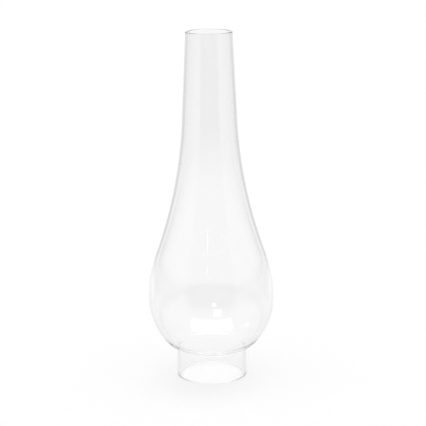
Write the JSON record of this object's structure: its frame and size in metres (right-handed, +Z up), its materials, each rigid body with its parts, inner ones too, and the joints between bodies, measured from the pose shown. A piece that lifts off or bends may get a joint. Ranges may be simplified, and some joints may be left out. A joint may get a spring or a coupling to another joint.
{
  "type": "oil lamp chimney",
  "caption": "Clear blown-glass oil lamp chimney: a straight base tube for the burner's holder, a pear-shaped bulb round the flame and a long tapering flue with a rounded lip.",
  "frame": {"origin": "centre of the foot ring, on the plane that the chimney stands on", "axes": "+Z up the chimney's axis from foot to lip; +X and +Y are any two directions across it"},
  "size_m": [0.095, 0.095, 0.263],
  "materials": {
    "clear_glass": "polished, colourless, fire-finished at the lip"
  },
  "bodies": {
    "root": {"glass_chimney": "clear_glass"}
  },
  "joints": []
}
